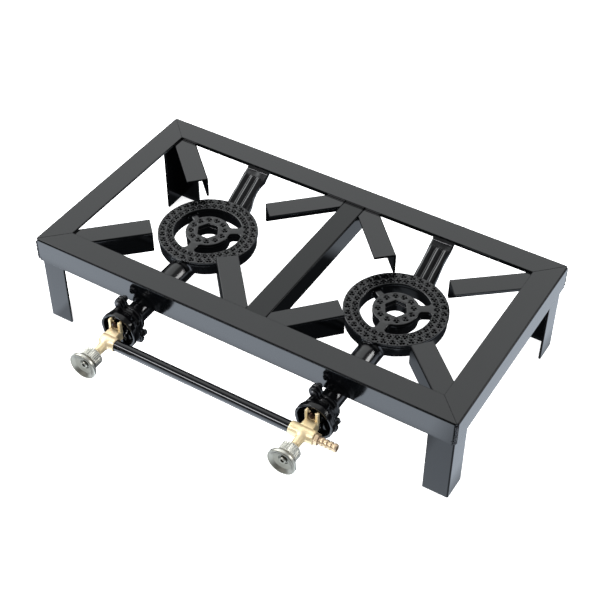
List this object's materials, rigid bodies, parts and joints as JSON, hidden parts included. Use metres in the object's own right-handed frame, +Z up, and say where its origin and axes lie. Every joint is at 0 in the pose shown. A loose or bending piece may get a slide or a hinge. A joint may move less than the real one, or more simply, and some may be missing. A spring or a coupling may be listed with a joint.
{
  "type": "propane burner stand",
  "caption": "Low black angle-steel table frame with pot supports over cast-iron ring burners, each fed by a brass needle valve on a shared gas line ending in a hose tail.",
  "frame": {"origin": "on the floor, at the middle of the whole object's outline box in plan; the frame's own centre is 56.5 mm behind it because the valves stand out in front", "axes": "+X to the user's right along the long side, +Y towards the back, +Z up; the knobs face -Y"},
  "size_m": [0.6, 0.423, 0.135],
  "materials": {
    "painted_steel": "gloss black enamel on rolled steel angle",
    "weld_bead": "black enamel over a rippled weld bead",
    "burner_iron": "semi-gloss black heat-proof enamel over sand-cast iron",
    "bell_iron": "gloss black enamel over sand-cast iron",
    "black_fastener": "blackened steel",
    "bronzed_fastener": "dark browned steel",
    "plated_fastener": "bright zinc plate",
    "packing_rubber": "matt black rubber",
    "black_tube": "high-gloss black enamel on drawn tube",
    "knob_zinc": "satin cast metal",
    "valve_brass": "bright machined brass"
  },
  "bodies": {
    "stand": {"front_rail": "painted_steel", "back_rail": "painted_steel", "left_rail": "painted_steel", "right_rail": "painted_steel", "centre_bar": "painted_steel", "leg_front_left": "painted_steel", "leg_front_right": "painted_steel", "leg_back_left": "painted_steel", "leg_back_right": "painted_steel", "pot_support_left_1": "painted_steel", "pot_support_left_2": "painted_steel", "pot_support_left_3": "painted_steel", "pot_support_left_4": "painted_steel", "pot_support_right_1": "painted_steel", "pot_support_right_2": "painted_steel", "pot_support_right_3": "painted_steel", "pot_support_right_4": "painted_steel", "corner_welds": "weld_bead", "left_burner": "burner_iron", "right_burner": "burner_iron", "left_mixer_bell": "bell_iron", "right_mixer_bell": "bell_iron", "mixer_screws": "black_fastener", "mixer_nuts": "black_fastener", "burner_studs": "plated_fastener", "burner_washers": "plated_fastener", "burner_nuts": "plated_fastener", "left_valve_body": "valve_brass", "right_valve_body": "valve_brass", "left_packing": "packing_rubber", "right_packing": "packing_rubber", "left_gland_nut": "valve_brass", "right_gland_nut": "valve_brass", "left_jet": "valve_brass", "right_jet": "valve_brass", "yoke_screws": "bronzed_fastener", "crossover_tube": "black_tube", "hose_barb": "valve_brass"},
    "left_valve_stem": {"left_stem": "valve_brass"},
    "left_valve_knob": {"left_knob": "knob_zinc", "left_knob_screw": "plated_fastener"},
    "right_valve_stem": {"right_stem": "valve_brass"},
    "right_valve_knob": {"right_knob": "knob_zinc", "right_knob_screw": "plated_fastener"}
  },
  "joints": [
    {"name": "left_stem_lift", "type": "slide", "parent": "stand", "child": "left_valve_stem", "axis": [0, -1, 0], "range_m": [0, 0.0016]},
    {"name": "left_knob_turn", "type": "hinge", "parent": "left_valve_stem", "child": "left_valve_knob", "pos_m": [-0.1405, -0.1955, 0.087], "axis": [0, -1, 0], "range_deg": [0, 540]},
    {"name": "right_stem_lift", "type": "slide", "parent": "stand", "child": "right_valve_stem", "axis": [0, -1, 0], "range_m": [0, 0.0016]},
    {"name": "right_knob_turn", "type": "hinge", "parent": "right_valve_stem", "child": "right_valve_knob", "pos_m": [0.1405, -0.1955, 0.087], "axis": [0, -1, 0], "range_deg": [0, 540]}
  ],
  "couplings": [
    {"joint": "left_stem_lift", "follows": "left_knob_turn", "m_per_rad": 0.00015915},
    {"joint": "right_stem_lift", "follows": "right_knob_turn", "m_per_rad": 0.00015915}
  ]
}
